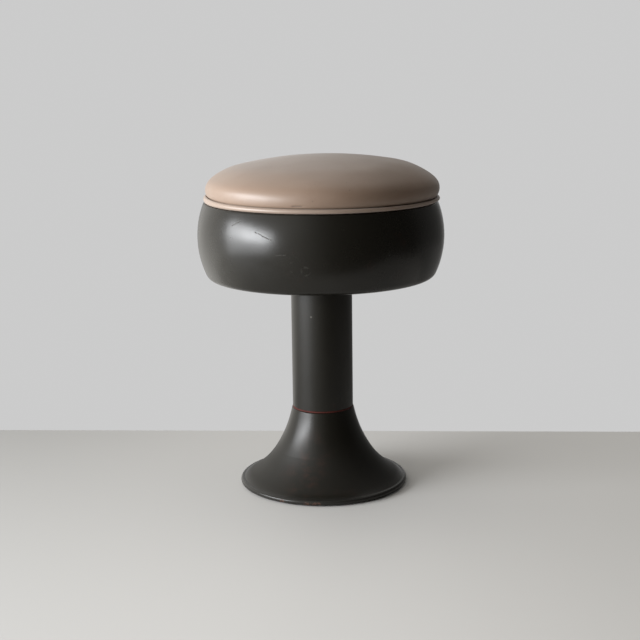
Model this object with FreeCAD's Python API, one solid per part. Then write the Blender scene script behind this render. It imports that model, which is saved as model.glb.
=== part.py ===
import FreeCAD, Part
import math
import os

# Swivel pedestal stool, millimetres. Z is up, the floor is z = 0 and the swivel axis is the Z axis.

# Base: spun trumpet with a rolled rim
base_diameter = 246.8
base_wall = 1.5
seam_height = 114.6
neck_overhang = 1.3
neck_bend = 0.5
neck_slope_deg = 11.8
rim_slope_deg = 26.8
rim_roll = 4.0
rim_roll_turn_deg = 285.0
rim_fillet = 3.0
rim_lift_deg = 30.0
rim_clearance = 0.9

# Column tube and the fibre ring under it
column_diameter = 88.9
column_wall = 3.2
ring_thickness = 2.2
ring_set_back = 0.2

# Drum: spun bowl under the seat
drum_diameter = 355.0
drum_wall = 1.6
drum_floor_height = 309.2
drum_belly_rise = 60.3
drum_rise = 110.2
drum_corner = 13.0
drum_side_radius = 129.0
drum_top_bend = 1.4
drum_ledge = 20.0
drum_hole_diameter = 80.0

# Seat pad: crowned cover over foam and a board, with piping along its bottom edge
pad_rise = 65.0
pad_belly_rise = 17.8
pad_edge_radius = 22.0
pad_edge_turn_deg = 58.0
pad_shoulder_radius = 130.0
pad_pinch_radius = 1.8
cover_thickness = 1.2
cover_tuck = 34.0
cover_fold = 2.0
cover_seam_fold = 0.5
welt_diameter = 6.4
welt_overhang = 1.1
board_thickness = 15.0
board_edge = 3.0

# Ballast casting and floor ring
ballast_height = 18.0
ballast_boss_height = 44.0
ballast_boss_diameter = 60.0
ballast_draft = 4.0
ballast_clearance = 2.2
foot_width = 9.0
foot_height = 4.2
foot_inset = 6.0

# Spindle, its nut and the spacer below the collar
spindle_diameter = 30.0
stub_diameter = 24.0
collar_diameter = 64.0
collar_thickness = 8.0
spindle_chamfer = 1.5
spindle_end = 5.0
spacer_wall = 5.0
nut_flats = 36.0
nut_height = 11.0
nut_washer_diameter = 44.0
nut_washer_thickness = 4.0

# Thrust ball bearing
bearing_diameter = 47.0
bearing_height = 11.0
race_thickness = 3.5
housing_bore_gap = 1.0
ball_diameter = 5.5
ball_count = 14
ball_gap = 0.1
cage_thickness = 1.6
cage_margin = 0.6

# Bearing plugs and bushes
plug_height = 24.0
plug_recess = 3.0
bush_wall = 3.0
bush_flange = 3.0
bush_flange_thickness = 2.5

# Flange, retaining ring and washer
flange_diameter = 160.0
flange_thickness = 6.0
flange_edge = 1.2
weld_leg = 4.0
keeper_washer_diameter = 52.0
keeper_washer_thickness = 3.0
clip_thickness = 1.5
clip_depth = 0.7
clip_band = 5.0
clip_lug = 3.6
clip_gap_deg = 40.0

# Tie bolts, washers and tee nuts
bolt_diameter = 8.0
bolt_count = 4
bolt_circle = 118.0
bolt_head_flats = 13.0
bolt_head_height = 5.3
bolt_washer_diameter = 16.0
bolt_washer_thickness = 1.6
tee_barrel_wall = 1.2
tee_flange_diameter = 22.0
tee_flange_thickness = 1.5
tee_barrel_length = 11.0

# Clearances
running_fit = 0.05
press_gap = 0.03
rest_gap = 0.3
hole_gap = 0.5

# Levels and radii that follow from the sizes above
neck_corner = base_wall + neck_bend
drum_top_corner = drum_wall + drum_top_bend
column_r = column_diameter / 2
column_bore_r = column_r - column_wall
spindle_r = spindle_diameter / 2
stub_r = stub_diameter / 2
bolt_r = bolt_diameter / 2
collar_top = seam_height + collar_thickness
bearing_top = collar_top + bearing_height
column_bottom = seam_height + ring_thickness + rest_gap
flange_bottom = drum_floor_height - flange_thickness
drum_top = drum_floor_height + drum_rise
lower_plug_top = bearing_top - plug_recess + plug_height
upper_plug_bottom = flange_bottom - plug_height
clip_bottom = drum_floor_height + keeper_washer_thickness + rest_gap
spindle_top = clip_bottom + clip_thickness + spindle_end
nut_bottom = ballast_clearance + spindle_chamfer
nut_top = nut_bottom + nut_height
nut_seat = nut_top + nut_washer_thickness
bead_r = base_diameter / 2 - rim_roll
bead_height = rim_clearance + rim_roll
seam_line = drum_top + welt_diameter + 2 * rest_gap
pad_belly = drum_top + pad_belly_rise
pad_top = drum_top + pad_rise
board_bottom = drum_top + cover_thickness
board_top = board_bottom + board_thickness
ball_plane = collar_top + bearing_height / 2
ball_circle_r = (bearing_diameter + spindle_diameter) / 4
bush_r = spindle_r + running_fit + bush_wall
tee_r = bolt_r + running_fit + tee_barrel_wall


def vec(r, z):
    return FreeCAD.Vector(r, 0, z)


def revolve(wire):
    """Solid of revolution about Z from a closed outline in the XZ plane."""
    face = Part.Face(wire)
    return face.revolve(FreeCAD.Vector(0, 0, 0), FreeCAD.Vector(0, 0, 1), 360)


def outline(points):
    return Part.makePolygon([vec(r, z) for r, z in points + points[:1]])


def heading(angle):
    return math.cos(angle), math.sin(angle)


def path(start, angle, moves, offset=0.0):
    """Edges along lines and tangent arcs, drawn parallel at an offset to the left of the path.

    A move is (length, None) for a line or (radius, turn) for an arc that turns left if turn is positive.
    """
    c, s = heading(angle)
    r = start[0] - offset * s
    z = start[1] + offset * c
    edges = []
    for size, turn in moves:
        c, s = heading(angle)
        if turn is None:
            end = (r + size * c, z + size * s)
            edges.append(Part.makeLine(vec(r, z), vec(*end)))
        else:
            side = math.copysign(1.0, turn)
            radius = size - side * offset
            centre = (r - side * radius * s, z + side * radius * c)
            points = []
            for share in (0.5, 1.0):
                cc, ss = heading(angle + share * turn)
                points.append((centre[0] + side * radius * ss, centre[1] - side * radius * cc))
            edges.append(Part.Arc(vec(r, z), vec(*points[0]), vec(*points[1])).toShape())
            end = points[1]
            angle += turn
        r, z = end
    return edges


def close(first, second):
    """Closed outline from two open paths that run side by side."""
    start_a = first[0].Vertexes[0].Point
    end_a = first[-1].Vertexes[-1].Point
    start_b = second[0].Vertexes[0].Point
    end_b = second[-1].Vertexes[-1].Point
    edges = first + second
    for a, b in ((start_a, start_b), (end_a, end_b)):
        if a.distanceToPoint(b) > 1e-6:
            edges.append(Part.makeLine(a, b))
    return Part.Wire(Part.__sortEdges__(edges))


def sheet(start, angle, moves, wall):
    """Spun sheet of even thickness: the path is one face and the other lies a wall to its left."""
    return revolve(close(path(start, angle, moves), path(start, angle, moves, wall)))


def ring(inner, outer, low, high):
    """Plain ring or, with no inner radius, a disc."""
    return revolve(outline([(inner, low), (outer, low), (outer, high), (inner, high)]))


def round_bar(radius, low, high, x=0.0, y=0.0):
    return Part.makeCylinder(radius, high - low, FreeCAD.Vector(x, y, low))


def hexagon(flats, low, high, x=0.0, y=0.0):
    """Hexagon bar with its corners rounded off by a cone at both ends."""
    corner = flats / math.sqrt(3)
    points = []
    for k in range(7):
        c, s = heading(k * math.pi / 3)
        points.append(FreeCAD.Vector(x + corner * c, y + corner * s, low))
    bar = Part.Face(Part.makePolygon(points)).extrude(FreeCAD.Vector(0, 0, high - low))
    chamfer = corner - flats / 2
    drop = chamfer * 0.6
    flat = flats / 2
    dome = outline([(0, low), (flat, low), (corner, low + drop), (corner, high - drop), (flat, high), (0, high)])
    turned = revolve(dome)
    turned.translate(FreeCAD.Vector(x, y, 0))
    return bar.common(turned)


def bolt_places():
    """Centres of the tie bolts around the axis."""
    places = []
    for k in range(bolt_count):
        c, s = heading(2 * math.pi * (k + 0.5) / bolt_count)
        places.append((c * bolt_circle / 2, s * bolt_circle / 2))
    return places


def drilled(solid, radius, low, high):
    """The solid with one round hole at each tie bolt."""
    for x, y in bolt_places():
        solid = solid.cut(round_bar(radius, low, high, x, y))
    return solid


def flare():
    """Two tangent arcs of the trumpet from neck to rim, with the point where they begin."""
    down = math.radians(neck_slope_deg)
    out = math.radians(rim_slope_deg)
    lift = math.radians(rim_lift_deg)
    start = (column_r + neck_overhang, seam_height - neck_corner * (1 - math.sin(down)))
    roll = rim_roll + rim_fillet
    end_r = bead_r + roll * math.sin(out - lift) - rim_fillet * math.sin(out)
    end_z = bead_height + roll * math.cos(out - lift) - rim_fillet * math.cos(out)
    t0 = (math.sin(down), -math.cos(down))
    t1 = (math.cos(out), -math.sin(out))
    v = (end_r - start[0], end_z - start[1])
    a = 2 * (1 - t0[0] * t1[0] - t0[1] * t1[1])
    b = 2 * (v[0] * (t0[0] + t1[0]) + v[1] * (t0[1] + t1[1]))
    c = -(v[0] ** 2 + v[1] ** 2)
    d = (-b + math.sqrt(b * b - 4 * a * c)) / (2 * a)
    joint = math.atan2(v[1] - d * (t0[1] + t1[1]), v[0] - d * (t0[0] + t1[0]))
    turn0 = joint - math.atan2(t0[1], t0[0])
    turn1 = math.atan2(t1[1], t1[0]) - joint
    return start, [(d / math.tan(turn0 / 2), turn0), (d / math.tan(turn1 / 2), turn1)]


def base_shell():
    """Trumpet closed by a flat top, with its bottom edge rolled under."""
    hole = stub_r + hole_gap
    start, arcs = flare()
    corner_turn = math.radians(neck_slope_deg) - math.pi / 2
    flat = start[0] - neck_corner * math.cos(math.radians(neck_slope_deg)) - hole
    moves = [(flat, None), (neck_corner, corner_turn)] + arcs
    moves.append((rim_fillet, math.radians(rim_lift_deg)))
    moves.append((rim_roll, -math.radians(rim_roll_turn_deg)))
    return sheet((hole, seam_height), 0.0, moves, -base_wall)


def ballast():
    """Casting that fits up inside the trumpet, with a boss, a nut recess and a groove for the foot ring."""
    start, arcs = flare()
    reach = base_wall + rest_gap
    angle = math.radians(neck_slope_deg) - math.pi / 2
    side = path(start, angle, arcs, -reach)
    end = side[-1].Vertexes[-1].Point
    first = side[0].Vertexes[0].Point
    edge_r = min(end.x, bead_r - rim_roll - rest_gap)
    closing = [first, vec(0, first.z), vec(0, ballast_clearance), vec(end.x, ballast_clearance), end]
    filled = revolve(Part.Wire(Part.__sortEdges__(side + Part.makePolygon(closing).Edges)))
    body = filled.common(round_bar(edge_r, ballast_clearance, ballast_height))
    boss_r = ballast_boss_diameter / 2
    low = ballast_clearance + 1
    boss = outline([(0, low), (boss_r + ballast_draft, low), (boss_r, ballast_boss_height), (0, ballast_boss_height)])
    body = body.fuse(revolve(boss))
    body = body.cut(round_bar(nut_washer_diameter / 2 + 2, 0, nut_seat))
    body = body.cut(round_bar(stub_r + hole_gap, 0, ballast_boss_height + 1))
    outer = foot_radius()
    groove = ring(outer - foot_width - press_gap, outer + press_gap, 0, foot_height)
    return body.cut(groove).removeSplitter()


def foot_radius():
    return bead_r - rim_roll - rest_gap - foot_inset


def foot_ring():
    """Rubber ring that stands a little below the rim."""
    outer = foot_radius()
    inner = outer - foot_width
    soft = 0.6
    section = [(inner + soft, 0), (outer - soft, 0), (outer, soft), (outer, foot_height)]
    return revolve(outline(section + [(inner, foot_height), (inner, soft)]))


def spacer_tube():
    """Tube around the spindle's stub that keeps the trumpet's top up from the casting."""
    bore = stub_r + hole_gap
    return ring(bore, bore + spacer_wall, ballast_boss_height, seam_height - base_wall)


def spindle():
    """Turned post: stub for the nut, collar on the trumpet and a plain journal with a clip groove."""
    ch = spindle_chamfer
    groove_r = spindle_r - clip_depth
    groove_low = clip_bottom - press_gap
    groove_high = clip_bottom + clip_thickness + press_gap
    collar_r = collar_diameter / 2
    points = [(0, nut_bottom - ch), (stub_r - ch, nut_bottom - ch), (stub_r, nut_bottom), (stub_r, seam_height)]
    points += [(collar_r, seam_height), (collar_r, collar_top - ch), (collar_r - ch, collar_top)]
    points += [(spindle_r, collar_top), (spindle_r, groove_low), (groove_r, groove_low), (groove_r, groove_high)]
    points += [(spindle_r, groove_high), (spindle_r, spindle_top - ch), (spindle_r - ch, spindle_top), (0, spindle_top)]
    return revolve(outline(points))


def spindle_washer():
    return ring(stub_r + hole_gap, nut_washer_diameter / 2, nut_top, nut_seat)


def spindle_nut():
    return hexagon(nut_flats, nut_bottom, nut_top).cut(round_bar(stub_r + running_fit, 0, nut_seat))


def swivel_ring():
    """Red fibre ring between the trumpet's top and the column's end."""
    outer = column_r + neck_overhang - ring_set_back
    inner = column_bore_r
    low = seam_height
    high = low + ring_thickness
    soft = ring_thickness * 0.2
    section = [(inner, low), (outer - soft, low), (outer, low + soft), (outer, high - soft)]
    return revolve(outline(section + [(outer - soft, high), (inner, high)]))


def race_groove():
    """Ring of ball shape that both races are hollowed with."""
    return Part.makeTorus(ball_circle_r, ball_diameter / 2 + ball_gap, FreeCAD.Vector(0, 0, ball_plane))


def lower_race():
    body = ring(spindle_r + press_gap, bearing_diameter / 2, collar_top, collar_top + race_thickness)
    return body.cut(race_groove())


def upper_race():
    low = bearing_top - race_thickness
    return ring(spindle_r + housing_bore_gap, bearing_diameter / 2, low, bearing_top).cut(race_groove())


def ball_places():
    places = []
    for k in range(ball_count):
        c, s = heading(2 * math.pi * k / ball_count)
        places.append((c * ball_circle_r, s * ball_circle_r))
    return places


def ball_cage():
    """Flat ring with one round pocket for each ball."""
    inner = spindle_r + cage_margin
    outer = bearing_diameter / 2 - cage_margin
    low = ball_plane - cage_thickness / 2
    high = ball_plane + cage_thickness / 2
    body = ring(inner, outer, low, high)
    for x, y in ball_places():
        body = body.cut(round_bar(ball_diameter / 2 + ball_gap, low - 1, high + 1, x, y))
    return body


def bearing_balls():
    balls = []
    for x, y in ball_places():
        balls.append(Part.makeSphere(ball_diameter / 2, FreeCAD.Vector(x, y, ball_plane)))
    return Part.makeCompound(balls)


def column_tube():
    return ring(column_bore_r, column_r, column_bottom, flange_bottom)


def bearing_plug(low, high):
    """Turned plug pressed in the tube, with a bore for the bush."""
    ch = 1.0
    outer = column_bore_r - press_gap
    bore = bush_r + press_gap
    section = [(bore, low), (outer - ch, low), (outer, low + ch), (outer, high - ch), (outer - ch, high)]
    return revolve(outline(section + [(bore, high)]))


def lower_plug():
    """Plug that rests on the upper race, with a recess that centres it."""
    low = bearing_top - plug_recess
    recess = round_bar(bearing_diameter / 2 + press_gap, low - 1, bearing_top)
    return bearing_plug(low, lower_plug_top).cut(recess)


def upper_plug():
    return bearing_plug(upper_plug_bottom, flange_bottom)


def bush(tip, shoulder):
    """Flanged bush that runs on the spindle; the flange lies beyond the shoulder level."""
    bore = spindle_r + running_fit
    side = math.copysign(1.0, shoulder - tip)
    end = shoulder + side * bush_flange_thickness
    flange_r = bush_r + bush_flange
    section = [(bore, tip), (bush_r, tip), (bush_r, shoulder), (flange_r, shoulder), (flange_r, end), (bore, end)]
    return revolve(outline(section))


def lower_bush():
    return bush(bearing_top + rest_gap, lower_plug_top)


def upper_bush():
    return bush(flange_bottom - rest_gap, upper_plug_bottom)


def column_flange():
    """Round plate welded on the column, with the weld's fillet below it."""
    outer = flange_diameter / 2
    bore = spindle_r + housing_bore_gap
    low = flange_bottom
    high = drum_floor_height
    ch = flange_edge
    inner = column_r + press_gap
    section = [(bore, low), (inner, low), (inner, low - weld_leg), (inner + weld_leg, low), (outer - ch, low)]
    section += [(outer, low + ch), (outer, high - ch), (outer - ch, high), (bore, high)]
    return drilled(revolve(outline(section)), bolt_r + hole_gap, low - 1, high + 1)


def keeper_washer():
    low = drum_floor_height
    return ring(spindle_r + rest_gap, keeper_washer_diameter / 2, low, low + keeper_washer_thickness)


def keeper_clip():
    """Open spring ring in the spindle's groove, with two drilled lugs."""
    low = clip_bottom
    high = low + clip_thickness
    inner = spindle_r - clip_depth
    outer = inner + clip_band
    gap = math.radians(clip_gap_deg)
    body = ring(inner, outer, low, high)
    c, s = heading(gap / 2)
    reach = 2 * outer
    corners = [(0, 0), (reach * c, -reach * s), (reach * c, reach * s), (0, 0)]
    wedge = Part.Face(Part.makePolygon([FreeCAD.Vector(x, y, low - 1) for x, y in corners]))
    body = body.cut(wedge.extrude(FreeCAD.Vector(0, 0, clip_thickness + 2)))
    centre_r = inner + clip_lug
    for side in (1, -1):
        c, s = heading(side * (gap / 2 + clip_lug / centre_r))
        x = centre_r * c
        y = centre_r * s
        lug = round_bar(clip_lug, low, high, x, y).cut(round_bar(inner, low, high))
        body = body.fuse(lug).cut(round_bar(clip_lug * 0.35, low, high, x, y))
    return body.removeSplitter()


def drum_moves():
    """Length of the flat floor, and the three arcs of the bowl's side."""
    centre_r = drum_diameter / 2 - drum_side_radius
    low_z = drum_corner - drum_belly_rise
    high_z = drum_rise - drum_top_corner - drum_belly_rise
    low_r = math.sqrt((drum_side_radius - drum_corner) ** 2 - low_z ** 2)
    high_r = math.sqrt((drum_side_radius - drum_top_corner) ** 2 - high_z ** 2)
    low_angle = math.atan2(low_z, low_r)
    high_angle = math.atan2(high_z, high_r)
    floor = centre_r + low_r - drum_hole_diameter / 2
    quarter = math.pi / 2
    arcs = [(drum_corner, quarter + low_angle), (drum_side_radius, high_angle - low_angle)]
    return [(floor, None)] + arcs + [(drum_top_corner, quarter - high_angle), (drum_ledge, None)]


def drum_shell():
    """Spun bowl with an opening in its floor and a flat ledge turned in at the top."""
    start = (drum_hole_diameter / 2, drum_floor_height)
    body = sheet(start, 0.0, drum_moves(), drum_wall)
    return drilled(body, bolt_r + hole_gap, drum_floor_height - 1, drum_floor_height + drum_wall + 1)


def drum_shoulder():
    """Radius where the drum's top ledge starts to round over."""
    high_z = drum_rise - drum_top_corner - drum_belly_rise
    high_r = math.sqrt((drum_side_radius - drum_top_corner) ** 2 - high_z ** 2)
    return drum_diameter / 2 - drum_side_radius + high_r


def skirt_radius():
    """Outer face of the cover behind the welt."""
    return drum_shoulder() + drum_top_corner + welt_overhang - welt_diameter - rest_gap


def edge_under():
    """Angle by which the pad's edge curls under before the pinch at the seam."""
    return math.asin((pad_belly - seam_line - pad_pinch_radius) / (pad_edge_radius - pad_pinch_radius))


def pinch_centre():
    """Radius where the cover's underside turns level at the seam."""
    return skirt_radius() + cover_seam_fold


def pad_radius():
    """Widest radius of the pad."""
    return pinch_centre() + pad_edge_radius - (pad_edge_radius - pad_pinch_radius) * math.cos(edge_under())


def crown_moves():
    """Arcs of the pad from the middle of its top, over the edge, to the pinch at the seam."""
    turn = math.radians(pad_edge_turn_deg)
    c, s = heading(turn)
    shoulder_r = pad_radius() - pad_edge_radius + (pad_edge_radius - pad_shoulder_radius) * c
    shoulder_z = pad_belly + (pad_edge_radius - pad_shoulder_radius) * s
    lift = (pad_top - shoulder_z - pad_shoulder_radius) / shoulder_r
    top_turn = math.pi / 2 - 2 * math.atan(lift)
    crown_radius = pad_shoulder_radius + shoulder_r / math.cos(top_turn)
    moves = [(crown_radius, top_turn - math.pi / 2), (pad_shoulder_radius, turn - top_turn)]
    moves.append((pad_edge_radius, -turn - edge_under()))
    moves.append((pad_pinch_radius, edge_under() - math.pi / 2))
    return moves


def seat_cover():
    """Leather over the pad: crown, sides drawn in to the seam, skirt behind the welt and tuck below the board."""
    turn = math.pi / 2
    moves = crown_moves()
    moves.append((cover_seam_fold, turn))
    moves.append((seam_line - drum_top - cover_seam_fold - cover_fold, None))
    moves.append((cover_fold, -turn))
    moves.append((cover_tuck, None))
    return sheet((0, pad_top), 0.0, moves, -cover_thickness)


def seat_foam():
    """Moulded pad between cover and board, wrapped down over the board's edge."""
    inset = cover_thickness + rest_gap
    shell = path((0, pad_top), 0.0, crown_moves(), -inset)
    low = shell[-1].Vertexes[-1].Point
    inner = skirt_radius() - cover_thickness
    top = shell[0].Vertexes[0].Point
    closing = [low, vec(inner, low.z), vec(inner, board_top), vec(0, board_top), top]
    body = revolve(Part.Wire(Part.__sortEdges__(shell + Part.makePolygon(closing).Edges)))
    pocket = tee_flange_diameter / 2 + rest_gap
    return drilled(body, pocket, board_top - 1, board_top + tee_flange_thickness + rest_gap)


def seat_board():
    """Plywood disc with its edges rounded and a hole at each tee nut."""
    outer = skirt_radius() - cover_thickness - rest_gap
    e = board_edge
    quarter = math.pi / 2
    moves = [(outer - e, None), (e, quarter), (board_thickness - 2 * e, None), (e, quarter), (outer - e, None)]
    body = revolve(close(path((0, board_bottom), 0.0, moves), [Part.makeLine(vec(0, board_bottom), vec(0, board_top))]))
    return drilled(body, tee_r + press_gap, board_bottom - 1, board_top + 1)


def seat_welt():
    """Round piping sewn along the bottom edge of the cover."""
    radius = welt_diameter / 2
    centre = skirt_radius() + rest_gap + radius
    return Part.makeTorus(centre, radius, FreeCAD.Vector(0, 0, drum_top + rest_gap + radius))


def tie_bolts():
    """Long hexagon bolts from below the flange up into the tee nuts."""
    washer_bottom = flange_bottom - bolt_washer_thickness
    end = board_top - rest_gap
    bolts = []
    for x, y in bolt_places():
        head = hexagon(bolt_head_flats, washer_bottom - bolt_head_height, washer_bottom, x, y)
        bolts.append(head.fuse(round_bar(bolt_r, washer_bottom - 1, end, x, y)).removeSplitter())
    return Part.makeCompound(bolts)


def tie_washers():
    washers = []
    for x, y in bolt_places():
        body = round_bar(bolt_washer_diameter / 2, flange_bottom - bolt_washer_thickness, flange_bottom, x, y)
        bore = round_bar(bolt_r + rest_gap, flange_bottom - bolt_washer_thickness - 1, flange_bottom + 1, x, y)
        washers.append(body.cut(bore))
    return Part.makeCompound(washers)


def tee_nuts():
    """Flanged nuts let into the top of the board."""
    nuts = []
    for x, y in bolt_places():
        barrel = round_bar(tee_r, board_top - tee_barrel_length, board_top, x, y)
        flange = round_bar(tee_flange_diameter / 2, board_top, board_top + tee_flange_thickness, x, y)
        bore = round_bar(bolt_r + running_fit, board_top - tee_barrel_length - 1, board_top + 5, x, y)
        nuts.append(barrel.fuse(flange).cut(bore).removeSplitter())
    return Part.makeCompound(nuts)


pieces = [
    base_shell, ballast, foot_ring, spacer_tube, spindle, spindle_washer, spindle_nut, swivel_ring,
    lower_race, keeper_clip, ball_cage, bearing_balls, upper_race, column_tube, lower_plug, lower_bush,
    upper_plug, upper_bush, column_flange, keeper_washer, drum_shell, tie_bolts, tie_washers, tee_nuts,
    seat_board, seat_foam, seat_cover, seat_welt,
]

os.makedirs("parts", exist_ok=True)
for piece in pieces:
    piece().exportStep("parts/" + piece.__name__ + ".step")
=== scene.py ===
import bpy
import math
import numpy as np
from mathutils import Matrix, Vector, noise

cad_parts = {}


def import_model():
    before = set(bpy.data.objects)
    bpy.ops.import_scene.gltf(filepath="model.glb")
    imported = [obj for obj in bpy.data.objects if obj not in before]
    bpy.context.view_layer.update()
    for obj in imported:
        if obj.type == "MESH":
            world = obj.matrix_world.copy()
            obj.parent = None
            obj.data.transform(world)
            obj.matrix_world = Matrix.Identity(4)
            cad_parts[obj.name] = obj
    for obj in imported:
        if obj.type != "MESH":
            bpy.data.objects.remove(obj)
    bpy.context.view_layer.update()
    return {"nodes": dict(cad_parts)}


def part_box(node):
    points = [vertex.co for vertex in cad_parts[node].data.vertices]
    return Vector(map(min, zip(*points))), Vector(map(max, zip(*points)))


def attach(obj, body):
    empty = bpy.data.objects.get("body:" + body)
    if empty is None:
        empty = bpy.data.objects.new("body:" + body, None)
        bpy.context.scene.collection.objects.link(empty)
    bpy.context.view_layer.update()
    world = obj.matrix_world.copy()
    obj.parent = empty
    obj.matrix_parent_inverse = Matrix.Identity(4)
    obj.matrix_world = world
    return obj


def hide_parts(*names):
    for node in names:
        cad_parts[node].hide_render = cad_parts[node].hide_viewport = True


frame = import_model()
NODES = frame["nodes"]

# Camera that took the photograph, in metres and radians, for a square picture
CAMERA_PLACE = (0.0, -1.880, 0.636)
CAMERA_PITCH = 0.2058
CAMERA_ROLL = 0.0122
CAMERA_LENS_MM = 73.88
SENSOR_MM = 36.0
CAMERA_SHIFT = -0.003

# Size and place of the seat pad, in metres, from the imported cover, board and welt
COVER_LOW, COVER_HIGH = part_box("seat_cover")
BOARD_LOW, BOARD_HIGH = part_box("seat_board")
WELT_LOW, WELT_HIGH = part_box("seat_welt")
PAD_RADIUS = COVER_HIGH.x
PAD_TOP = COVER_HIGH.z
WELT_INSET = 0.0005
WELT_RADIUS = (WELT_HIGH.z - WELT_LOW.z) / 2
WELT_RING = WELT_HIGH.x - WELT_RADIUS - WELT_INSET
SEAM_OVER_WELT = 0.0003
SEAM_HEIGHT = WELT_HIGH.z + SEAM_OVER_WELT

# Profile of the pad: arcs of crown, shoulder, edge and pinch, then the cover's way under the board
CROWN_TURN = math.radians(11.4)
CROWN_STEPS = 10
SHOULDER_RADIUS = 0.130
SHOULDER_TURN = math.radians(20.6)
SHOULDER_STEPS = 5
EDGE_RADIUS = 0.0220
EDGE_STEPS = 8
PINCH_RADIUS = 0.0018
PINCH_STEPS = 2
SKIRT_CLEAR = 0.0004
BOARD_CLEAR = 0.0002
TUCK_RADIUS = 0.128
PAD_FINENESS = 4
PAD_SEGMENTS = 720

# Softening of the profile: its reach in metres is less near the seam, a part of the way that is left
SOFT_STEPS = 800
SOFT_REACH = 0.008
SOFT_PARTS = 3
LEAST_REACH = 1e-6

# Cloth step of the pad, which leaves the seam and the middle of the crown in place
CLOTH_SEGMENTS = 180
CLOTH_FINENESS = 2
CLOTH_FRAMES = 20
CLOTH_CAP = 0.0002
CLOTH_SHRINK = 0.99
CLOTH_UNEVEN = 0.0012
CLOTH_UNEVEN_SCALE = 24
CLOTH_WAVES = 14
CLOTH_BLUR = 0.006
CLOTH_CALM = 0.070
CLOTH_CALM_POWER = 3
CLOTH_SETTINGS = {
    "quality": 6,
    "mass": 0.3,
    "tension_stiffness": 25.0,
    "compression_stiffness": 25.0,
    "bending_stiffness": 2.0,
    "vertex_group_mass": "held",
    "use_pressure": True,
    "uniform_pressure_force": 4.0,
}
FREE_FROM = 0.001
FREE_SPAN = 0.010

# Sag at the right and fullness at the left: height in metres, then centre and spread in pad radii
SAG_RIGHT = (0.0048, 0.95, 0.21)
FULL_LEFT = (0.0017, 0.82, 0.16)

# Lean of the crown, bulge at the front left, and the place of pad and welt off the axis
CROWN_TILT = 0.010
TILT_RISE = 0.03
BULGE = 0.0020
BULGE_ANGLE = -0.95
BULGE_BREADTH = 0.45
BULGE_RISE = 0.022
BULGE_SPREAD = 0.009
WELT_ASIDE = 0.0017
PAD_ASIDE = 0.0040
ASIDE_RISE = 0.02

# Seam: its lean, its curl at the far left, and the puckers above it
SEAM_TILT = -0.008
SEAM_CURL = 0.0018
SEAM_CURL_FROM = 0.75
PUCKER_DEPTH = 0.00035
PUCKER_RISE = 0.005
PUCKER_SPREAD = 0.006
PUCKER_SCALE = 17
PUCKER_LEVEL = 1.7
PATCH_LEAST = 0.35
PATCH_GAIN = 1.6
PATCH_SCALE = 2.3
PATCH_LEVEL = 5

# Crease at the front, just above the seam, with shade painted darker along it
CREASE_ANGLE = -0.190
CREASE_HALF = 0.055
CREASE_RISE = 0.0036
CREASE_SPREAD = 0.0009
CREASE_DEPTH = 0.0010
CREASE_BAND = 0.008
CREASE_SHADED_SHARE = 0.7
CREASE_SHADE_COLOUR = (0.070, 0.045, 0.030)

# Piping: its unevenness, and the joint at the back with a nick beside it
WELT_ACROSS = 20
WELT_SWELL = 0.02
WELT_SWELL_SCALE = 9
WELT_WANDER = 0.00015
WELT_WANDER_SCALE = 4
WELT_WANDER_LEVEL = 3
LAP_LENGTH = 0.016
LAP_SWELL = 0.10
NICK_LENGTH = 0.003
NICK_DEPTH = 0.12

# Red ring of the seam, in metres
RING_PROUD = 0.0002
RING_BREADTH = 0.0025
RING_SOFT = 0.0004

# Window light to the left of the object, in metres; its upper half is the brighter
WINDOW_WALL = -1.5
WINDOW_NEAR = -1.50
WINDOW_FAR = 0.00
WINDOW_SILL = 0.03
WINDOW_MIDDLE = 0.44
WINDOW_HEAD = 0.78
WINDOW_POST = -0.45
WINDOW_COLOUR = (0.955, 0.975, 1.0)
NEAR_RADIANCE = 34.0
FAR_RADIANCE = 20.5
LOWER_RADIANCE = 8.4
SILL_SHARE = 0.52
LOWER_STRIPS = 4

# Light of the room: axis of the direction, start and end of the fade, strength at start and end
BEHIND = ("Y", 0.0, 0.35, 0.0, 1.0)
WALL_ACROSS = ("X", -0.9, 0.7, 1.00, 0.080)
BEYOND_FLOOR = ("Z", -0.22, -0.08, 0.16, 0.0)
CEILING_UP = ("Z", 0.55, 1.0, 0.0, 1.1)
CEILING_DEPTH = ("Y", -0.55, 0.25, 0.05, 1.0)
CEILING_ACROSS = ("X", -0.2, 0.7, 1.0, 0.55)
UPPER_LEFT_ACROSS = ("X", -0.9, 0.1, 0.55, 0.0)
UPPER_LEFT_UP = ("Z", 0.10, 0.45, 0.0, 1.0)
FRONT_DEPTH = ("Y", -0.80, -0.25, 1.0, 0.0)
FRONT_ACROSS = ("X", -0.75, 0.25, 0.74, 0.0)
ROOM_ACROSS = ("X", -0.9, 0.5, 0.26, 0.045)
STRAIGHT_BEHIND = ("Y", 0.90, 0.97, 0.0, 1.0)
ROOM_COLOUR = (1.02, 1.0, 0.955)
BACKDROP = (0.60, 0.60, 0.60)

# Floor, in metres; its colour is darker to the left and lighter to the right, painted shade and light that
# even out the window's fall-off
FLOOR_HALF_WIDTH = 1.3
FLOOR_FRONT = -0.62
FLOOR_BACK = 0.251
FLOOR_SKEW = 0.0515
FLOOR_PAINTED_SHADE_FADE = (-0.65, 0.15)
FLOOR_PAINTED_SHADE_LEFT = (0.335, 0.329, 0.318)
FLOOR_PAINTED_LIGHT_RIGHT = (0.585, 0.573, 0.555)
FLOOR_CLOUD = (0.40, 0.394, 0.385)
FLOOR_ROUGH = 0.6
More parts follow.
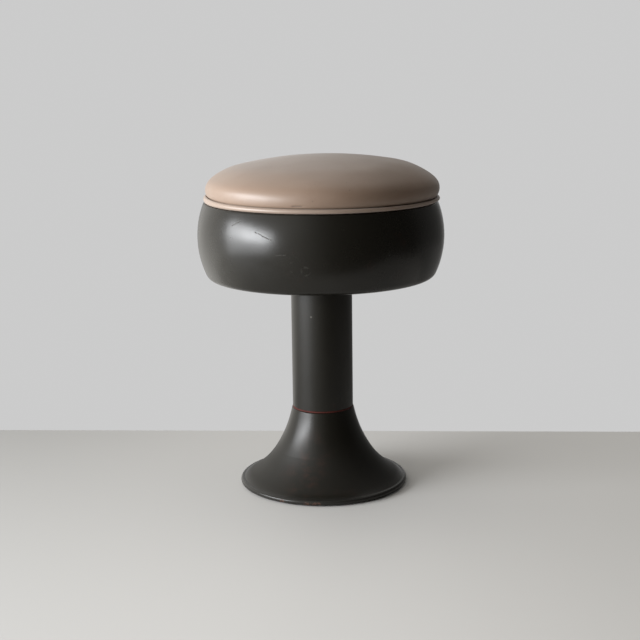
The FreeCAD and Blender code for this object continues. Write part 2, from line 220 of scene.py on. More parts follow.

# Marks of use and one patch of painted light, as angle from the front in radians and height in metres; the
# specks have a size
DRUM_SCRATCHES = [
    ((-0.520, 0.3950), (-0.463, 0.3915)),
    ((-0.463, 0.3908), (-0.384, 0.3861)),
    ((-0.758, 0.4010), (-0.678, 0.4073)),
]
DRUM_SCRAPE = ((-0.347, 0.3659), (-0.268, 0.3667))
# Spot of the lighter patch at the drum's low left, which is painted light
DRUM_PAINTED_LIGHT = (-0.98, 0.326)
DRUM_RING = (-0.1203, 0.3452)
DRUM_RING_RADIUS = 0.0056
DRUM_SPECKS = [
    ((-0.2300, 0.3443), 0.0022),
    ((-0.2262, 0.3560), 0.0018),
    ((-0.1867, 0.3634), 0.0018),
]
SPECK_CORE = 0.4
COLUMN_CHIP = (-0.3575, 0.2566)
BASE_BLUSH = (-0.30, 0.045)
RIM_WEAR = [((-0.215, 0.0044), (-0.060, 0.0038)), ((-0.515, 0.0040), (-0.500, 0.0040))]

# Colours of the paint, its marks, and the painted light that some of them lay
PAINT_DARK = (0.0080, 0.0071, 0.0051)
PAINT_LIGHT = (0.0112, 0.0099, 0.0073)
PRIMER = (0.026, 0.011, 0.0075)
# Dust colour of the scrape, ring scuff and specks, also used as painted light on the drum's low left
DUST_AND_PAINTED_LIGHT = (0.055, 0.052, 0.046)
SCRATCH = (0.030, 0.027, 0.022)
CHIP = (0.16, 0.15, 0.13)
BLUSH = (0.042, 0.019, 0.013)
# Lighter colour of the rim, partly painted sheen on the bead
RIM_POLISH_AND_SHEEN = (0.020, 0.019, 0.017)
RUST = (0.078, 0.037, 0.025)

# Gloss of the paint: roughness from and to, and specular level
DRUM_ROUGH = (0.21, 0.325)
COLUMN_ROUGH = (0.30, 0.42)
BASE_ROUGH = (0.26, 0.38)
DRUM_SPECULAR = 0.32
COLUMN_SPECULAR = 0.27
BASE_SPECULAR = 0.24

# Leather: dark and light colour, and roughness
PAD_LEATHER = ((0.205, 0.137, 0.095), (0.237, 0.163, 0.116), 0.45)
WELT_LEATHER = ((0.250, 0.184, 0.141), (0.284, 0.212, 0.166), 0.40)
LEATHER_SPECULAR = 0.50
COAT_WEIGHT = 0.4
COAT_ROUGHNESS = 0.6
SHEEN_WEIGHT = 0.12
SHEEN_ROUGHNESS = 0.5
STAIN_TINT = (0.86, 0.74, 0.66)
FLECK_SHADE = 0.6

# Plain finishes: dark and light colour, roughness, metallic, scale of the clouds, nodes that have it
PLAIN_SPREAD = 0.08
FINE = 120.0
RED_FIBRE = ((0.074, 0.009, 0.004), (0.040, 0.006, 0.004), 0.72, 0.0, 80.0)
RED_FIBRE_SPECULAR = 0.32
STEEL_NODES = ("spacer_tube", "spindle", "lower_race", "upper_race", "bearing_balls")
ZINC_NODES = ("spindle_washer", "spindle_nut", "keeper_clip", "keeper_washer")
ZINC_NODES += ("tie_bolts", "tie_washers", "tee_nuts")
BRONZE_NODES = ("lower_bush", "upper_bush", "ball_cage")
PLAIN_FINISHES = [
    ("black_rubber", (0.012, 0.012, 0.012), (0.022, 0.022, 0.021), 0.75, 0.0, FINE, ("foot_ring",)),
    ("cast_iron", (0.020, 0.020, 0.020), (0.034, 0.033, 0.032), 0.70, 0.0, FINE, ("ballast",)),
    ("machined_steel", (0.42, 0.42, 0.41), (0.52, 0.52, 0.50), 0.32, 1.0, FINE, STEEL_NODES),
    ("zinc_steel", (0.45, 0.45, 0.43), (0.58, 0.57, 0.54), 0.42, 1.0, FINE, ZINC_NODES),
    ("cast_aluminium", (0.50, 0.50, 0.50), (0.60, 0.60, 0.60), 0.45, 1.0, FINE, ("lower_plug", "upper_plug")),
    ("bronze", (0.36, 0.22, 0.09), (0.46, 0.30, 0.13), 0.40, 1.0, FINE, BRONZE_NODES),
    ("plywood", (0.36, 0.23, 0.12), (0.48, 0.33, 0.19), 0.60, 0.0, 30.0, ("seat_board",)),
]

# Sockets of the mix node, by what it mixes: first, second and result
MIX_SOCKETS = {"FLOAT": (2, 3, 0), "RGBA": (6, 7, 2)}


class Graph:
    """A material's node tree, with short calls for the nodes that this scene uses."""

    def __init__(self, name):
        self.material = bpy.data.materials.new(name)
        self.material.use_nodes = True
        self.tree = self.material.node_tree
        self.shader = self.tree.nodes["Principled BSDF"]
        self.place = self.tree.nodes.new("ShaderNodeTexCoord").outputs["Object"]

    def node(self, kind, links=(), **settings):
        made = self.tree.nodes.new(kind)
        for key, value in settings.items():
            setattr(made, key, value)
        for key, value in dict(links).items():
            self.put(made.inputs[key], value)
        return made

    def put(self, socket, value):
        if isinstance(value, bpy.types.NodeSocket):
            self.tree.links.new(value, socket)
        elif isinstance(value, (tuple, list)) and len(value) == 3 and socket.type == "RGBA":
            socket.default_value = (*value, 1.0)
        else:
            socket.default_value = value

    def set(self, **values):
        for key, value in values.items():
            self.put(self.shader.inputs[key.replace("_", " ")], value)

    def noise(self, scale, detail=3.0, rough=0.5):
        links = {"Vector": self.place, "Scale": scale, "Detail": detail, "Roughness": rough}
        return self.node("ShaderNodeTexNoise", links).outputs["Fac"]

    def cells(self, scale):
        """Distance from the middle of each cell."""
        links = {"Vector": self.place, "Scale": scale}
        return self.node("ShaderNodeTexVoronoi", links).outputs["Distance"]

    def axis(self, letter):
        return self.node("ShaderNodeSeparateXYZ", {0: self.place}).outputs[letter]

    def math(self, operation, a, b=0.0):
        return self.node("ShaderNodeMath", {0: a, 1: b}, operation=operation).outputs[0]

    def times(self, a, b):
        return self.math("MULTIPLY", a, b)

    def ramp(self, value, low, high):
        """0 below low, 1 above high, smooth between."""
        links = {"Value": value, "From Min": low, "From Max": high}
        return self.node("ShaderNodeMapRange", links, interpolation_type="SMOOTHSTEP").outputs["Result"]

    def within(self, value, low, high):
        """1 below low, 0 above high, smooth between."""
        return self.math("SUBTRACT", 1.0, self.ramp(value, low, high))

    def between(self, share, low, high):
        """Low where the share is 0, high where it is 1."""
        links = {"Value": share, "To Min": low, "To Max": high}
        return self.node("ShaderNodeMapRange", links).outputs["Result"]

    def mix(self, share, a, b, kind="RGBA"):
        """Mix of two colours, or of two numbers where the kind is FLOAT."""
        first, second, result = MIX_SOCKETS[kind]
        made = self.node("ShaderNodeMix", {0: share, first: a, second: b}, data_type=kind)
        return made.outputs[result]

    def bump(self, height, distance, strength, under=None):
        links = {"Height": height, "Distance": distance, "Strength": strength}
        if under is not None:
            links["Normal"] = under
        return self.node("ShaderNodeBump", links).outputs["Normal"]

    def vector(self, operation, a, b):
        return self.node("ShaderNodeVectorMath", {0: a, 1: b}, operation=operation)

    def unrolled(self, radius):
        """Distance around the front of a turned piece, and height, as a flat place."""
        apart = self.node("ShaderNodeSeparateXYZ", {0: self.place})
        angle = self.math("ARCTAN2", apart.outputs["X"], self.times(apart.outputs["Y"], -1.0))
        flat = {0: self.times(angle, radius), 1: apart.outputs["Z"]}
        return self.node("ShaderNodeCombineXYZ", flat).outputs[0]

    def away(self, skin, spot, radius):
        """Distance over the skin from a spot given as angle and height."""
        return self.vector("DISTANCE", skin, (spot[0] * radius, spot[1], 0.0)).outputs["Value"]

    def stroke(self, skin, a, b, radius, width, soft):
        """1 on the straight stroke from a to b, fading to 0 at soft."""
        start = Vector((a[0] * radius, a[1], 0.0))
        along = Vector((b[0] * radius, b[1], 0.0)) - start
        way = along.normalized()
        from_start = self.vector("SUBTRACT", skin, tuple(start)).outputs[0]
        run = self.vector("DOT_PRODUCT", from_start, tuple(way)).outputs["Value"]
        held = self.math("MINIMUM", self.math("MAXIMUM", run, 0.0), along.length)
        foot = self.node("ShaderNodeVectorMath", {0: tuple(way), "Scale": held}, operation="SCALE").outputs[0]
        off = self.vector("DISTANCE", from_start, foot).outputs["Value"]
        return self.within(off, width, soft)


def painted(name, rough_low, rough_high):
    """Charcoal paint with a soft gloss, rubbed thin over red primer in places."""
    g = Graph(name)
    cloud = g.noise(scale=9.0, detail=4.0)
    fine = g.noise(scale=60.0, detail=5.0, rough=0.65)
    rubbed = g.ramp(g.noise(scale=26.0, detail=6.0, rough=0.7), low=0.58, high=0.78)
    g.colour = g.mix(cloud, PAINT_DARK, PAINT_LIGHT)
    g.colour = g.mix(g.times(rubbed, 0.40), g.colour, PRIMER)
    mottle = g.math("ADD", g.times(cloud, 0.6), g.times(fine, 0.4))
    g.rough = g.between(mottle, rough_low, rough_high)
    wave = g.bump(g.noise(scale=22.0, detail=2.0), distance=0.0010, strength=0.22)
    g.normal = g.bump(g.noise(scale=420.0, detail=3.0), distance=0.00006, strength=0.35, under=wave)
    return g


def mark(g, share, colour, rough):
    """Lay a mark of another colour and gloss over the paint."""
    g.colour = g.mix(share, g.colour, colour)
    g.rough = g.mix(share, g.rough, rough, "FLOAT")


def done(g, specular):
    """The paint's material, with the colour, gloss and normal that its marks have led to."""
    g.set(Base_Color=g.colour, Roughness=g.rough, Normal=g.normal, Specular_IOR_Level=specular)
    return g.material


def drum_paint():
    """The drum's paint, with a lighter patch at the low left that is painted light from the floor and the
    window, scratches, a scrape, a broken ring-shaped scuff and specks.
    """
    g = painted("charcoal_drum", *DRUM_ROUGH)
    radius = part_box("drum_shell")[1].x
    skin = g.unrolled(radius)
    # Painted light: a lighter patch at the low left stands in for light from the floor and the window
    painted_light = g.within(g.away(skin, DRUM_PAINTED_LIGHT, radius), low=0.010, high=0.080)
    uneven = g.between(g.noise(scale=30.0, detail=4.0), low=0.20, high=0.45)
    mark(g, g.times(painted_light, uneven), DUST_AND_PAINTED_LIGHT, rough=0.28)
    torn = g.ramp(g.noise(scale=700.0, detail=2.0), low=0.36, high=0.60)
    for a, b in DRUM_SCRATCHES:
        line = g.stroke(skin, a, b, radius, width=0.0005, soft=0.0011)
        mark(g, g.times(line, torn), SCRATCH, rough=0.62)
    scrape = g.times(g.stroke(skin, *DRUM_SCRAPE, radius, width=0.0003, soft=0.0010), 0.35)
    mark(g, g.times(scrape, torn), DUST_AND_PAINTED_LIGHT, rough=0.5)
    broken = g.times(g.ramp(g.noise(scale=330.0, detail=3.0), low=0.38, high=0.62), 0.32)
    off_ring = g.math("SUBTRACT", g.away(skin, DRUM_RING, radius), DRUM_RING_RADIUS)
    ring = g.within(g.math("ABSOLUTE", off_ring), low=0.0006, high=0.0020)
    ring = g.times(ring, g.ramp(g.noise(scale=150.0, detail=2.0), low=0.44, high=0.56))
    mark(g, g.times(ring, broken), DUST_AND_PAINTED_LIGHT, rough=0.6)
    for spot, size in DRUM_SPECKS:
        speck = g.within(g.away(skin, spot, radius), low=size * SPECK_CORE, high=size)
        mark(g, g.times(speck, broken), DUST_AND_PAINTED_LIGHT, rough=0.6)
    return done(g, DRUM_SPECULAR)


def column_paint():
    """The column's duller paint, with one chip."""
    g = painted("charcoal_column", *COLUMN_ROUGH)
    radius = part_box("column_tube")[1].x
    chip = g.within(g.away(g.unrolled(radius), COLUMN_CHIP, radius), low=0.0006, high=0.0014)
    mark(g, g.times(chip, 0.8), CHIP, rough=0.6)
    return done(g, COLUMN_SPECULAR)


def base_paint():
    """The base's paint: duller and reddened low on the flare, glossier along the rim with a lighter colour
    there that is painted sheen, rusty at its front.
    """
    g = painted("charcoal_base", *BASE_ROUGH)
    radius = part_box("base_shell")[1].x
    skin = g.unrolled(radius)
    height = g.axis("Z")
    duller = g.times(g.within(height, low=0.035, high=0.085), g.ramp(height, low=0.009, high=0.016))
    g.rough = g.math("ADD", g.rough, g.times(duller, 0.22))
    flare = g.within(g.away(skin, BASE_BLUSH, radius), low=0.006, high=0.060)
    blush = g.times(flare, g.ramp(g.noise(scale=45.0, detail=5.0, rough=0.65), low=0.42, high=0.72))
    mark(g, g.times(blush, 0.55), BLUSH, rough=0.42)
    # Along the rim: lower roughness, and a lighter colour that is painted sheen on the bead
    rim = g.within(height, low=0.008, high=0.012)
    polish_and_sheen = g.times(rim, g.between(g.noise(scale=35.0, detail=3.0), low=0.6, high=1.0))
    mark(g, polish_and_sheen, RIM_POLISH_AND_SHEEN, rough=0.24)
    chipped = g.ramp(g.noise(scale=260.0, detail=5.0, rough=0.7), low=0.44, high=0.56)
    for a, b in RIM_WEAR:
        worn = g.times(g.stroke(skin, a, b, radius, width=0.0012, soft=0.0036), chipped)
        mark(g, worn, RUST, rough=0.62)
    return done(g, BASE_SPECULAR)


def leather(name, dark, light, rough):
    """Coated leather: fine pebble grain, faint colour clouds, stains, dark flecks and a soft sheen."""
    g = Graph(name)
    colour = g.mix(g.noise(scale=7.0, detail=4.0), dark, light)
    stain = g.times(g.ramp(g.noise(scale=19.0, detail=5.0, rough=0.6), low=0.50, high=0.74), 0.35)
    colour = g.mix(stain, colour, tuple(v * t for v, t in zip(dark, STAIN_TINT)))
    fleck = g.times(g.within(g.cells(scale=70.0), low=0.04, high=0.09), 0.60)
    g.colour = g.mix(fleck, colour, tuple(v * FLECK_SHADE for v in dark))
    g.set(Base_Color=g.colour, Coat_Weight=COAT_WEIGHT, Coat_Roughness=COAT_ROUGHNESS)
    g.set(Sheen_Weight=SHEEN_WEIGHT, Sheen_Roughness=SHEEN_ROUGHNESS)
    g.set(Specular_IOR_Level=LEATHER_SPECULAR)
    g.set(Roughness=g.between(g.noise(scale=40.0, detail=4.0), low=rough - 0.04, high=rough + 0.05))
    grain = g.bump(g.cells(scale=900.0), distance=0.00010, strength=0.30)
    g.set(Normal=g.bump(g.noise(scale=160.0, detail=4.0), distance=0.00012, strength=0.25, under=grain))
    return g


def plain(name, dark, light, rough, metallic, scale):
    """A finish with a little cloud and grain, for the pieces that hardly show."""
    g = Graph(name)
    cloud = g.noise(scale, detail=4.0)
    g.set(Base_Color=g.mix(cloud, dark, light), Metallic=metallic)
    g.set(Roughness=g.between(cloud, rough - PLAIN_SPREAD, rough + PLAIN_SPREAD))
    g.set(Normal=g.bump(g.noise(scale * 6, detail=3.0), distance=0.0001, strength=0.3))
    return g


def mesh_object(name, verts, faces):
    mesh = bpy.data.meshes.new(name)
    mesh.from_pydata(verts, [], faces)
    mesh.shade_smooth()
    made = bpy.data.objects.new(name, mesh)
    bpy.context.scene.collection.objects.link(made)
    return made


def lathe(name, rings):
    """Closed turned mesh from an array of rings, ring by ring from the top of the axis to its other end."""
    count, segments = rings.shape[:2]
    verts = [tuple(rings[0, 0])] + [tuple(p) for p in rings[1:-1].reshape(-1, 3)] + [tuple(rings[-1, 0])]
    last = len(verts) - 1
    faces = []
    for k in range(segments):
        n = (k + 1) % segments
        faces.append((0, 1 + k, 1 + n))
        for i in range(count - 3):
            a = 1 + i * segments
            b = a + segments
            faces.append((a + k, b + k, b + n, a + n))
        a = 1 + (count - 3) * segments
        faces.append((a + k, last, a + n))
    return mesh_object(name, verts, faces)


def hoop(name, sections):
    """Closed ring-shaped mesh from an array of sections around the axis."""
    around, across = sections.shape[:2]
    faces = []
    for k in range(around):
        a = k * across
        b = (k + 1) % around * across
        for j in range(across):
            m = (j + 1) % across
            faces.append((a + j, b + j, b + m, a + m))
    return mesh_object(name, [tuple(p) for p in sections.reshape(-1, 3)], faces)


def directions(segments):
    """Cosine and sine of each segment's angle around the axis."""
    a = 2 * np.pi * np.arange(segments) / segments
    return np.cos(a), np.sin(a)


def turned(profile, segments):
    """Array of rings from a profile of radius and height."""
    r, z = np.array(profile).T
    cos, sin = directions(segments)
    return np.stack([np.outer(r, cos), np.outer(r, sin), np.outer(z, np.ones(segments))], axis=2)


def run_along(profile):
    """Distance along a profile to each of its points."""
    steps = np.linalg.norm(np.diff(np.array(profile), axis=0), axis=1)
    return np.concatenate([[0.0], np.cumsum(steps)])


def arc(points, heading, radius, turn, steps):
    """Go on from the last point along an arc; a positive turn bends downwards, then inwards."""
    r, z = points[-1]
    for t in np.linspace(0.0, turn, steps + 1)[1:]:
        points.append((r + radius * (math.sin(heading + t) - math.sin(heading)),
                       z - radius * (math.cos(heading) - math.cos(heading + t))))
    return heading + turn


def softened(points):
    """The profile with its changes of curvature spread out, still ending at its first top, width and seam."""
    way = np.array(points)
    run = run_along(points)
    even = np.linspace(0.0, run[-1], SOFT_STEPS)
    r = np.interp(even, run, way[:, 0])
    z = np.interp(even, run, way[:, 1])
    heading = np.unwrap(np.arctan2(np.gradient(z), np.gradient(r)))
    reach = np.minimum(SOFT_REACH, (run[-1] - even) / SOFT_PARTS + LEAST_REACH)
    weight = np.exp(-0.5 * ((even[None, :] - even[:, None]) / reach[:, None]) ** 2)
    mirror = np.exp(-0.5 * ((even[None, :] + even[:, None]) / reach[:, None]) ** 2)
    total = (weight + mirror).sum(axis=1)
    heading = (weight @ heading - mirror @ heading) / total
    middle = (heading[1:] + heading[:-1]) / 2
    step = even[1] - even[0]
    r = np.concatenate([[0.0], np.cumsum(np.cos(middle)) * step])
    z = np.concatenate([[0.0], np.cumsum(np.sin(middle)) * step])
    r = np.interp(run, even, r)
    z = np.interp(run, even, z)
    r = r * (way[:, 0].max() / r.max())
    z = way[0, 1] + z * ((way[-1, 1] - way[0, 1]) / z[-1])
    return list(zip(r, z))


def pad_profile(fine):
    """Crown, shoulder, edge, pinch at the seam, skirt behind the welt, tuck, then back along the board."""
    knee = CROWN_TURN + SHOULDER_TURN
    points = [(0.0, 0.0)]
    way = arc(points, 0.0, 1.0, CROWN_TURN, CROWN_STEPS * fine)
    belly_drop = SHOULDER_RADIUS * (math.cos(CROWN_TURN) - math.cos(knee)) + EDGE_RADIUS * math.cos(knee)
    rest = SHOULDER_RADIUS * (math.sin(knee) - math.sin(CROWN_TURN)) + EDGE_RADIUS * (1 - math.sin(knee))
    crown = (PAD_RADIUS - rest) / math.sin(CROWN_TURN)
    points = [(r * crown, PAD_TOP + z * crown) for r, z in points]
    way = arc(points, way, SHOULDER_RADIUS, SHOULDER_TURN, SHOULDER_STEPS * fine)
    belly = PAD_TOP - crown * (1 - math.cos(CROWN_TURN)) - belly_drop
    under = math.asin((belly - SEAM_HEIGHT - PINCH_RADIUS) / (EDGE_RADIUS - PINCH_RADIUS))
    way = arc(points, way, EDGE_RADIUS, math.pi / 2 - knee + under, EDGE_STEPS * fine)
    arc(points, way, PINCH_RADIUS, math.pi / 2 - under, PINCH_STEPS * fine)
    points = softened(points)
    top_count = len(points)
    skirt = WELT_RING - WELT_RADIUS - SKIRT_CLEAR
    board = BOARD_HIGH.x + BOARD_CLEAR
    low = COVER_LOW.z + BOARD_CLEAR
    points += [(skirt, SEAM_HEIGHT), (skirt, low), (TUCK_RADIUS, low), (TUCK_RADIUS, BOARD_LOW.z)]
    points += [(board, BOARD_LOW.z), (board, BOARD_HIGH.z), (0.0, BOARD_HIGH.z)]
    return points, top_count


def free_share(rings, top_count):
    """0 on the seam and below, rising to 1 on the free top of the pad."""
    share = np.clip((rings[:, :, 2] - SEAM_HEIGHT - FREE_FROM) / FREE_SPAN, 0.0, 1.0)
    share[top_count:] = 0.0
    return share


def slack_cloth(rings, share, top_count):
    """A cloth object a little smaller than the pad and uneven, held at the seam and below."""
    start = rings.copy()
    for i in range(top_count):
        for k in range(CLOTH_SEGMENTS):
            x, y, z = rings[i, k]
            uneven = CLOTH_UNEVEN * noise.noise(Vector((x, y, z)) * CLOTH_UNEVEN_SCALE)
            small = 1 + share[i, k] * (CLOTH_SHRINK - 1)
            height = SEAM_HEIGHT + (z - SEAM_HEIGHT) * small + share[i, k] * uneven
            start[i, k] = (x * small, y * small, height)
    start[0, :] = start[0].mean(axis=0)
    cloth = lathe("pad_cloth", start)
    held = cloth.vertex_groups.new(name="held")
    flat_share = np.concatenate([[1.0], share[1:-1].reshape(-1), [0.0]])
    for i, value in enumerate(flat_share):
        held.add([i], 1.0 - float(value), "REPLACE")
    return cloth


def settled_places(cloth):
    """Places of the cloth's points once pressure has settled it; the cloth itself is deleted."""
    settle = cloth.modifiers.new("settle", "CLOTH")
    for key, value in CLOTH_SETTINGS.items():
        setattr(settle.settings, key, value)
    settle.settings.effector_weights.gravity = 0.0
    settle.point_cache.frame_start = 1
    settle.point_cache.frame_end = CLOTH_FRAMES
    for step in range(1, CLOTH_FRAMES + 1):
        bpy.context.scene.frame_set(step)
    shaped = cloth.evaluated_get(bpy.context.evaluated_depsgraph_get()).data
    places = np.empty(len(shaped.vertices) * 3)
    shaped.vertices.foreach_get("co", places)
    bpy.context.scene.frame_set(1)
    mesh = cloth.data
    bpy.data.objects.remove(cloth)
    bpy.data.meshes.remove(mesh)
    return places.reshape(-1, 3)


def cloth_field():
    """Movement, outward and upward, of a cloth that settles over the pad, less its mean and capped."""
    profile, top_count = pad_profile(CLOTH_FINENESS)
    rings = turned(profile, CLOTH_SEGMENTS)
    share = free_share(rings, top_count)
    places = settled_places(slack_cloth(rings, share, top_count))
    after = rings.copy()
    after[0, :] = places[0]
    after[1:-1] = places[1:-1].reshape(len(profile) - 2, CLOTH_SEGMENTS, 3)
    moved = after - rings
    cos, sin = directions(CLOTH_SEGMENTS)
    fields = []
    for field in (moved[:, :, 0] * cos + moved[:, :, 1] * sin, moved[:, :, 2]):
        field = field - field.mean(axis=1, keepdims=True)
        fields.append(np.clip(field, -CLOTH_CAP, CLOTH_CAP)[:top_count])
    return run_along(profile[:top_count]), fields


def finer_field(field, run, fine_run, segments):
    """The same movement on more rings and segments, without its short waves."""
    waves = np.zeros((len(field), segments // 2 + 1), complex)
    waves[:, :CLOTH_WAVES] = np.fft.rfft(field, axis=1)[:, :CLOTH_WAVES] * (segments / field.shape[1])
    around = np.fft.irfft(waves, segments, axis=1)
    along = np.stack([np.interp(fine_run, run, around[:, k]) for k in range(segments)], axis=1)
    kernel = np.exp(-((fine_run[:, None] - fine_run[None, :]) / CLOTH_BLUR) ** 2)
    return (kernel / kernel.sum(axis=1, keepdims=True)) @ along


def settle_down(rings, share, profile, top_count):
    """Move the pad's free top as the cloth moved, and less towards the middle of the crown."""
    run, (out, up) = cloth_field()
    fine_run = run_along(profile[:top_count])
    calm = np.minimum(1.0, np.array(profile)[:top_count, :1] / CLOTH_CALM) ** CLOTH_CALM_POWER
    settled = share[:top_count] * calm
    cos, sin = directions(PAD_SEGMENTS)
    outward = finer_field(out, run, fine_run, PAD_SEGMENTS) * settled
    rings[:top_count, :, 0] += outward * cos
    rings[:top_count, :, 1] += outward * sin
    rings[:top_count, :, 2] += finer_field(up, run, fine_run, PAD_SEGMENTS) * settled


def seam_lift(x, y):
    """Height of the seam over its level place: it leans to the right and curls up at the far left."""
    left = -x / math.hypot(x, y)
    curl = max(0.0, (left - SEAM_CURL_FROM) / (1 - SEAM_CURL_FROM))
    return SEAM_TILT * x + SEAM_CURL * curl ** 2


def bell(value, centre, spread):
    """1 at the centre, falling off on both sides."""
    return math.exp(-(((value - centre) / spread) ** 2))


def wear_in(rings, share, top_count):
    """Puckers, one crease, a bulge, the crown's lean, sag and fullness, and the pad's place on the drum."""
    up = Vector((0, 0, 1))
    for i in range(1, top_count):
        for k in range(rings.shape[1]):
            x, y, z = rings[i, k]
            r = math.hypot(x, y)
            out = Vector((x / r, y / r, 0.0))
            angle = math.atan2(x, -y)
            rise = max(0.0, z - SEAM_HEIGHT)
            p = Vector((x, y, z))
            turn = Vector((math.sin(angle) * PUCKER_SCALE, math.cos(angle) * PUCKER_SCALE, PUCKER_LEVEL))
            patch = max(0.0, noise.noise(out * PATCH_SCALE + up * PATCH_LEVEL))
            gather = noise.noise(turn) * (PATCH_LEAST + patch * PATCH_GAIN)
            pucker = bell(rise, PUCKER_RISE, PUCKER_SPREAD) * share[i, k] * PUCKER_DEPTH * gather
            along = (angle - CREASE_ANGLE) / CREASE_HALF
            groove = bell(rise, CREASE_RISE, CREASE_SPREAD) * max(0.0, 1 - along * along)
            in_band = r > PAD_RADIUS - CREASE_BAND
            p += out * (pucker - groove * CREASE_DEPTH * in_band)
            full = bell(angle, BULGE_ANGLE, BULGE_BREADTH) * bell(rise, BULGE_RISE, BULGE_SPREAD)
            p += out * (BULGE * full)
            high = min(1.0, rise / TILT_RISE)
            p.z += CROWN_TILT * x * high + seam_lift(x, y) * (1 - high)
            side = x / PAD_RADIUS
            height, centre, spread = SAG_RIGHT if side > 0 else FULL_LEFT
            p.z -= height * side * abs(side) * bell(r / PAD_RADIUS, centre, spread) * high
            p.x += WELT_ASIDE + (PAD_ASIDE - WELT_ASIDE) * min(1.0, rise / ASIDE_RISE)
            rings[i, k] = p
    rings[0, :] = rings[1].mean(axis=0)


def pad_leather():
    """The pad's leather, with painted shade along the crease."""
    g = leather("taupe_leather", *PAD_LEATHER)
    reach = CREASE_HALF * CREASE_SHADED_SHARE
    height = SEAM_HEIGHT + CREASE_RISE
    left, right = (CREASE_ANGLE - reach, height), (CREASE_ANGLE + reach, height)
    # Painted shade: a darker colour along the crease
    crease_shade = g.stroke(g.unrolled(PAD_RADIUS), left, right, PAD_RADIUS, width=0.0003, soft=0.0014)
    crease_shade = g.times(crease_shade, g.between(g.noise(scale=400.0, detail=2.0), low=0.25, high=0.85))
    g.set(Base_Color=g.mix(crease_shade, g.colour, CREASE_SHADE_COLOUR))
    return g.material


def seat_pad():
    """The cushion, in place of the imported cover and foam."""
    profile, top_count = pad_profile(PAD_FINENESS)
    rings = turned(profile, PAD_SEGMENTS)
    share = free_share(rings, top_count)
    settle_down(rings, share, profile, top_count)
    wear_in(rings, share, top_count)
    pad = lathe("pad_cover", rings)
    pad.data.materials.append(pad_leather())
    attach(pad, "seat")
    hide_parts("seat_cover", "seat_foam")


def lap(angle):
    """Thicker stretch at the back where the ends of the piping are joined, with a nick beside it."""
    off = (angle - math.pi / 2) * WELT_RING
    if 0.0 <= off <= LAP_LENGTH:
        return LAP_SWELL
    if -NICK_LENGTH <= off < 0.0:
        return -NICK_DEPTH
    return 0.0


def welt():
    """Piping: a leather-covered cord with slight unevenness along it."""
    around = PAD_SEGMENTS // 2
    sections = np.empty((around, WELT_ACROSS, 3))
    for k in range(around):
        a = 2 * math.pi * k / around
        way = Vector((math.cos(a), math.sin(a), 0))
        radius = WELT_RADIUS * (1 + WELT_SWELL * noise.noise(way * WELT_SWELL_SCALE) + lap(a))
        wander = WELT_WANDER * noise.noise(way * WELT_WANDER_SCALE + Vector((0, 0, WELT_WANDER_LEVEL)))
        lift = seam_lift(way.x * WELT_RING, way.y * WELT_RING)
        for j in range(WELT_ACROSS):
            b = 2 * math.pi * j / WELT_ACROSS
            r = WELT_RING + radius * math.cos(b)
            up = 1 + math.sin(b)
            z = WELT_LOW.z + wander + radius * up + lift * up / 2
            sections[k, j] = (r * way.x + WELT_ASIDE, r * way.y, z)
    cord = hoop("pad_welt", sections)
    cord.data.materials.append(leather("welt_leather", *WELT_LEATHER).material)
    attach(cord, "seat")
    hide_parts("seat_welt")


def seam_ring():
    """The red ring, its edge flush with the column as in the photograph."""
    low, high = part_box("swivel_ring")
    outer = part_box("column_tube")[1].x + RING_PROUD
    bore = outer - RING_BREADTH
    soft = RING_SOFT
    section = [(bore, low.z), (outer - soft, low.z), (outer, low.z + soft), (outer, high.z - soft)]
    section += [(outer - soft, high.z), (bore, high.z)]
    made = hoop("seam_ring", turned(section, PAD_SEGMENTS).transpose(1, 0, 2))
    g = plain("red_fibre", *RED_FIBRE)
    g.set(Specular_IOR_Level=RED_FIBRE_SPECULAR)
    made.data.materials.append(g.material)
    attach(made, "pedestal")
    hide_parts("swivel_ring")


def dress(material, *names):
    for name in names:
        slots = NODES[name].data.materials
        slots.clear()
        slots.append(material)


def cad_finishes():
    """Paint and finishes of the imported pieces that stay."""
    dress(drum_paint(), "drum_shell")
    dress(column_paint(), "column_tube", "column_flange")
    dress(base_paint(), "base_shell")
    for name, dark, light, rough, metallic, scale, nodes in PLAIN_FINISHES:
        dress(plain(name, dark, light, rough, metallic, scale).material, *nodes)


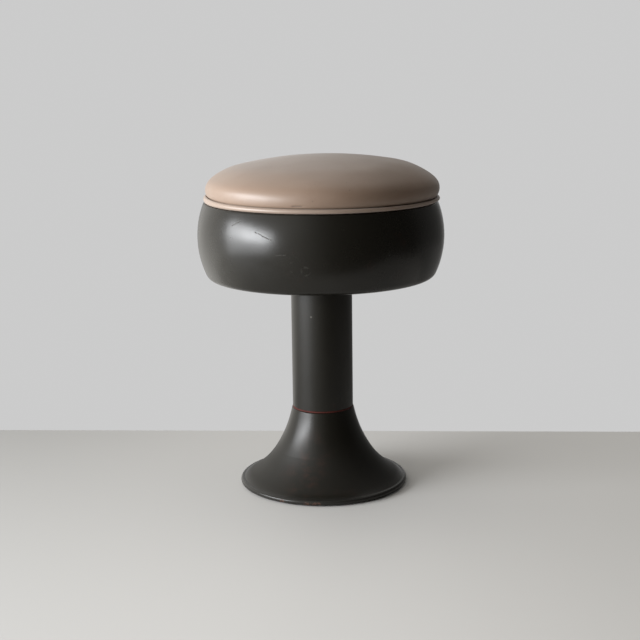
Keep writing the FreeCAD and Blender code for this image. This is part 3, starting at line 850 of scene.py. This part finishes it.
def world():
    """A pale wall behind, lighter to the left, a pale ceiling and a dim room, with a plain backdrop.

    The camera sees the backdrop, and so do mirrored and transmitted rays that go straight behind.
    """
    made = bpy.data.worlds.new("studio")
    bpy.context.scene.world = made
    made.use_nodes = True
    tree = made.node_tree
    tree.nodes.clear()
    link = tree.links.new
    apart = tree.nodes.new("ShaderNodeSeparateXYZ")
    link(tree.nodes.new("ShaderNodeTexCoord").outputs["Generated"], apart.inputs[0])

    def fade(axis, low, high, at_low, at_high):
        node = tree.nodes.new("ShaderNodeMapRange")
        node.interpolation_type = "SMOOTHSTEP"
        link(apart.outputs[axis], node.inputs["Value"])
        node.inputs["From Min"].default_value = low
        node.inputs["From Max"].default_value = high
        node.inputs["To Min"].default_value = at_low
        node.inputs["To Max"].default_value = at_high
        return node.outputs["Result"]

    def join(operation, a, b):
        node = tree.nodes.new("ShaderNodeMath")
        node.operation = operation
        link(a, node.inputs[0])
        link(b, node.inputs[1])
        return node.outputs[0]

    def background(colour):
        node = tree.nodes.new("ShaderNodeBackground")
        node.inputs["Color"].default_value = (*colour, 1.0)
        return node

    wall = join("MULTIPLY", fade(*BEHIND), fade(*WALL_ACROSS))
    beyond = join("MULTIPLY", fade(*BEHIND), fade(*BEYOND_FLOOR))
    ceiling = join("MULTIPLY", fade(*CEILING_UP), fade(*CEILING_DEPTH))
    ceiling = join("MULTIPLY", ceiling, fade(*CEILING_ACROSS))
    upper_left = join("MULTIPLY", fade(*UPPER_LEFT_ACROSS), fade(*UPPER_LEFT_UP))
    pale = join("MAXIMUM", join("MAXIMUM", wall, beyond), join("MAXIMUM", ceiling, upper_left))
    front = join("MULTIPLY", fade(*FRONT_DEPTH), fade(*FRONT_ACROSS))
    room = join("ADD", fade(*ROOM_ACROSS), join("ADD", front, pale))
    around = background(ROOM_COLOUR)
    link(room, around.inputs["Strength"])
    path = tree.nodes.new("ShaderNodeLightPath").outputs
    mirrored = join("MAXIMUM", path["Is Glossy Ray"], path["Is Transmission Ray"])
    mirrored = join("MULTIPLY", mirrored, fade(*STRAIGHT_BEHIND))
    mix = tree.nodes.new("ShaderNodeMixShader")
    link(join("MAXIMUM", path["Is Camera Ray"], mirrored), mix.inputs[0])
    link(around.outputs[0], mix.inputs[1])
    link(background(BACKDROP).outputs[0], mix.inputs[2])
    out = tree.nodes.new("ShaderNodeOutputWorld")
    link(mix.outputs[0], out.inputs["Surface"])


def window_light(name, near, far, low, high, radiance):
    """One pane of the window, as an area lamp that faces the object."""
    data = bpy.data.lights.new(name, "AREA")
    data.shape = "RECTANGLE"
    data.size = far - near
    data.size_y = high - low
    data.energy = radiance * math.pi * data.size * data.size_y
    data.color = WINDOW_COLOUR
    lamp = bpy.data.objects.new(name, data)
    lamp.location = (WINDOW_WALL, (far + near) / 2, (low + high) / 2)
    lamp.rotation_euler = Vector((1, 0, 0)).to_track_quat("-Z", "Y").to_euler()
    bpy.context.scene.collection.objects.link(lamp)


def lower_window():
    """The window below its middle, dimmer from strip to strip down to the sill."""
    height = (WINDOW_MIDDLE - WINDOW_SILL) / LOWER_STRIPS
    for i in range(LOWER_STRIPS):
        top = WINDOW_MIDDLE - i * height
        radiance = LOWER_RADIANCE * (1 - (1 - SILL_SHARE) * i / (LOWER_STRIPS - 1))
        window_light(f"window_lower_{i}", WINDOW_NEAR, WINDOW_FAR, top - height, top, radiance)


def floor():
    """A pale floor that ends behind the object, where the photograph has its wall; darker to the left as
    painted shade where the window lights it most.
    """
    x = FLOOR_HALF_WIDTH
    left = FLOOR_BACK + FLOOR_SKEW * x
    right = FLOOR_BACK - FLOOR_SKEW * x
    corners = [(-x, FLOOR_FRONT, 0), (x, FLOOR_FRONT, 0), (x, right, 0), (-x, left, 0)]
    made = mesh_object("floor", corners, [(0, 1, 2, 3)])
    g = Graph("pale_floor")
    # Painted shade and light: darker to the left, lighter to the right, against the window's fall-off
    even = g.mix(g.ramp(g.axis("X"), *FLOOR_PAINTED_SHADE_FADE), FLOOR_PAINTED_SHADE_LEFT, FLOOR_PAINTED_LIGHT_RIGHT)
    cloud = g.times(g.noise(scale=3.0), 0.10)
    g.set(Base_Color=g.mix(cloud, even, FLOOR_CLOUD), Roughness=FLOOR_ROUGH)
    made.data.materials.append(g.material)


def camera():
    """The photograph's camera."""
    data = bpy.data.cameras.new("camera")
    data.lens = CAMERA_LENS_MM
    data.sensor_width = SENSOR_MM
    data.shift_x = CAMERA_SHIFT
    made = bpy.data.objects.new("camera", data)
    tilt = Matrix.Rotation(math.pi / 2 - CAMERA_PITCH, 4, "X") @ Matrix.Rotation(-CAMERA_ROLL, 4, "Z")
    made.matrix_world = Matrix.Translation(CAMERA_PLACE) @ tilt
    bpy.context.scene.collection.objects.link(made)
    bpy.context.scene.camera = made


cad_finishes()
seam_ring()
seat_pad()
welt()
floor()
world()
window_light("window_near", WINDOW_NEAR, WINDOW_POST, WINDOW_MIDDLE, WINDOW_HEAD, NEAR_RADIANCE)
window_light("window_far", WINDOW_POST, WINDOW_FAR, WINDOW_MIDDLE, WINDOW_HEAD, FAR_RADIANCE)
lower_window()
camera()
bpy.context.scene.view_settings.view_transform = "Standard"
